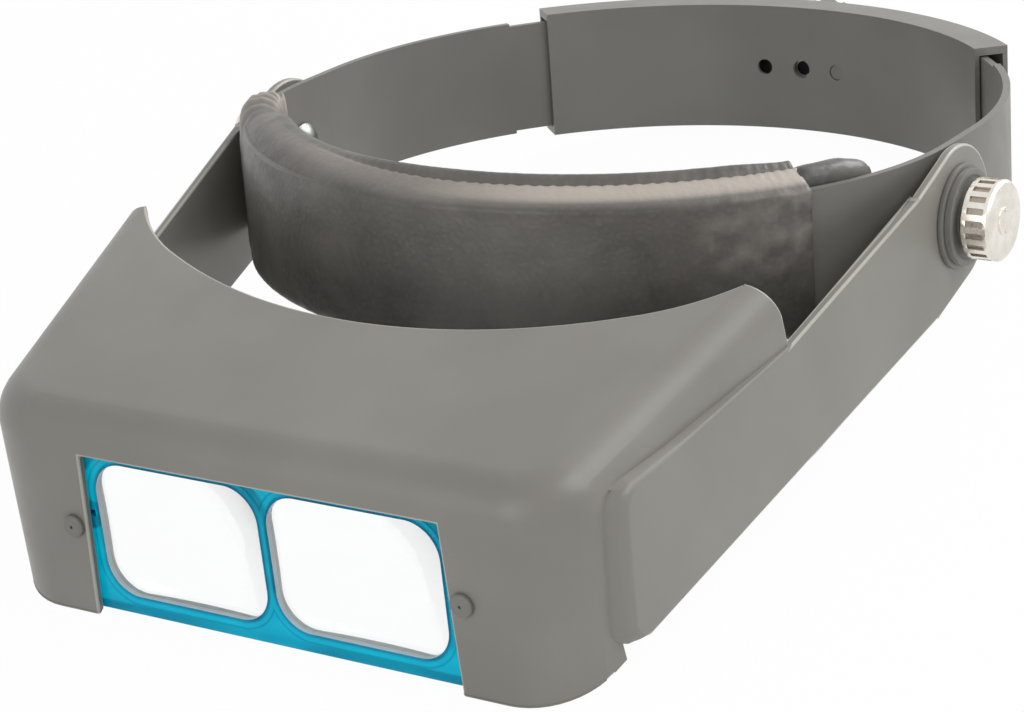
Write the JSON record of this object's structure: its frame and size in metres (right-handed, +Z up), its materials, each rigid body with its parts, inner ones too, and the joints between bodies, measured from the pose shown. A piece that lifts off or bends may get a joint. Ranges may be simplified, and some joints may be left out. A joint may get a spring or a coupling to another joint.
{
  "type": "headband magnifier",
  "caption": "Headband magnifier: grey visor with a pair of clear lenses in a teal frame, padded band, thumb-knob pivots, rear size adjuster.",
  "frame": {"origin": "middle of the bounding box on the table plane, with the visor's front edge and the rear adjuster resting on it", "axes": "+X to the wearer's left, along the pivot axis; +Y to the back of the head; +Z up"},
  "size_m": [0.214, 0.2792, 0.0716],
  "materials": {
    "hood_plastic": "satin moulded, warm grey",
    "band_plastic": "satin, darker grey",
    "vinyl": "soft grained vinyl, dark grey-brown",
    "teal_plastic": "glossy translucent teal",
    "lens_glass": "clear, polished",
    "nickel": "pale satin nickel",
    "zinc": "bright zinc",
    "steel": "plain steel"
  },
  "bodies": {
    "headband": {"front_band": "band_plastic", "pad_cushion": "vinyl", "pad_wrap": "vinyl", "left_pivot_bolt": "zinc", "right_pivot_bolt": "zinc", "left_spacer": "hood_plastic", "right_spacer": "hood_plastic"},
    "visor": {"visor_hood": "hood_plastic", "lens_frame": "teal_plastic", "left_lens": "lens_glass", "right_lens": "lens_glass", "left_lens_stud": "hood_plastic", "right_lens_stud": "hood_plastic", "stud_clips": "steel", "left_arm_washer": "hood_plastic", "right_arm_washer": "hood_plastic"},
    "left_clamp": {"left_knob_washer": "hood_plastic"},
    "right_clamp": {"right_knob_washer": "hood_plastic"},
    "left_knob": {"left_thumb_knob": "nickel"},
    "right_knob": {"right_thumb_knob": "nickel"},
    "rear_unit": {"housing_shell": "hood_plastic", "housing_cover": "hood_plastic", "detent_spring": "steel"},
    "left_rear_strap": {"left_strap": "band_plastic"},
    "right_rear_strap": {"right_strap": "band_plastic"},
    "adjuster": {"rear_knob": "band_plastic", "rear_knob_cap": "hood_plastic", "knob_axle": "steel", "rear_pinion": "steel"}
  },
  "joints": [
    {"name": "visor_tilt", "type": "hinge", "parent": "headband", "child": "visor", "pos_m": [0, 0.01367, 0.03836], "axis": [-1, 0, 0], "range_deg": [-10, 80]},
    {"name": "left_clamp_slide", "type": "slide", "parent": "headband", "child": "left_clamp", "axis": [1, 0, 0], "range_m": [0, 0.0012]},
    {"name": "left_knob_turn", "type": "hinge", "parent": "left_clamp", "child": "left_knob", "pos_m": [0.101, 0.01367, 0.03836], "axis": [1, 0, 0], "range_deg": [0, 540.5]},
    {"name": "right_clamp_slide", "type": "slide", "parent": "headband", "child": "right_clamp", "axis": [-1, 0, 0], "range_m": [0, 0.0012]},
    {"name": "right_knob_turn", "type": "hinge", "parent": "right_clamp", "child": "right_knob", "pos_m": [-0.101, 0.01367, 0.03836], "axis": [-1, 0, 0], "range_deg": [0, 540.5]},
    {"name": "rear_slide", "type": "slide", "parent": "headband", "child": "rear_unit", "axis": [0, 0.9825, -0.1861], "range_m": [-0.00969, 0.01895]},
    {"name": "rear_knob_turn", "type": "hinge", "parent": "rear_unit", "child": "adjuster", "pos_m": [0, 0.12695, 0.0169], "axis": [0, 0.9825, -0.1861], "range_deg": [-110.2, 215.2]},
    {"name": "left_strap_travel", "type": "hinge", "parent": "rear_unit", "child": "left_rear_strap", "pos_m": [0, 0.03135, 0.03501], "axis": [0, -0.1861, -0.9825], "range_deg": [-6.09, 11.85]},
    {"name": "right_strap_travel", "type": "hinge", "parent": "rear_unit", "child": "right_rear_strap", "pos_m": [0, 0.03135, 0.03501], "axis": [0, 0.1861, 0.9825], "range_deg": [-6.09, 11.85]}
  ],
  "couplings": [
    {"joint": "left_knob_turn", "follows": "left_clamp_slide", "rad_per_m": 7854},
    {"joint": "right_knob_turn", "follows": "right_clamp_slide", "rad_per_m": 7854},
    {"joint": "rear_knob_turn", "follows": "rear_slide", "rad_per_m": 198.04},
    {"joint": "left_strap_travel", "follows": "rear_slide", "rad_per_m": 10.87},
    {"joint": "right_strap_travel", "follows": "rear_slide", "rad_per_m": 10.87}
  ]
}
